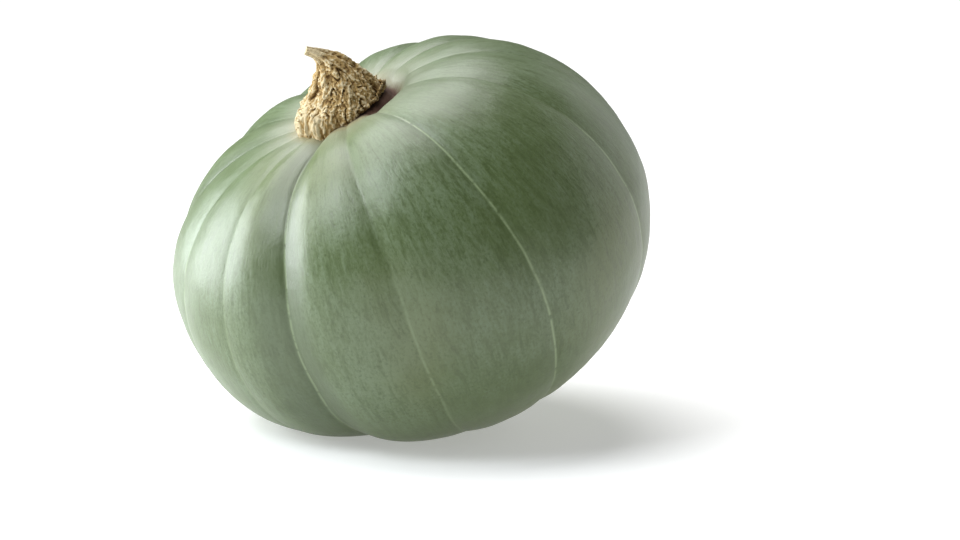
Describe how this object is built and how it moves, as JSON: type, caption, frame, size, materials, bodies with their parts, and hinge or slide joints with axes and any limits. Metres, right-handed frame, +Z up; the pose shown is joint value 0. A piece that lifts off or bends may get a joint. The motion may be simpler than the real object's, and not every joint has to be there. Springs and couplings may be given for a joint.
{
  "type": "pumpkin",
  "caption": "Whole blue-green winter squash pumpkin with shallow furrows and a corky bent stem, lying tilted on its own flat spot.",
  "frame": {"origin": "on the plane it rests on, at the middle of the whole pumpkin's box", "axes": "+Z up; the stem end leans towards -X, about 25 degrees from upright; +Y runs across the lean"},
  "size_m": [0.251, 0.2596, 0.2044],
  "materials": {
    "skin": "matte blue-green rind with a faint bloom",
    "cork": "rough dry cork, ridged",
    "scar": "rough dry cork"
  },
  "bodies": {
    "root": {"fruit": "skin", "stem": "cork", "blossom_scar": "scar"}
  },
  "joints": []
}
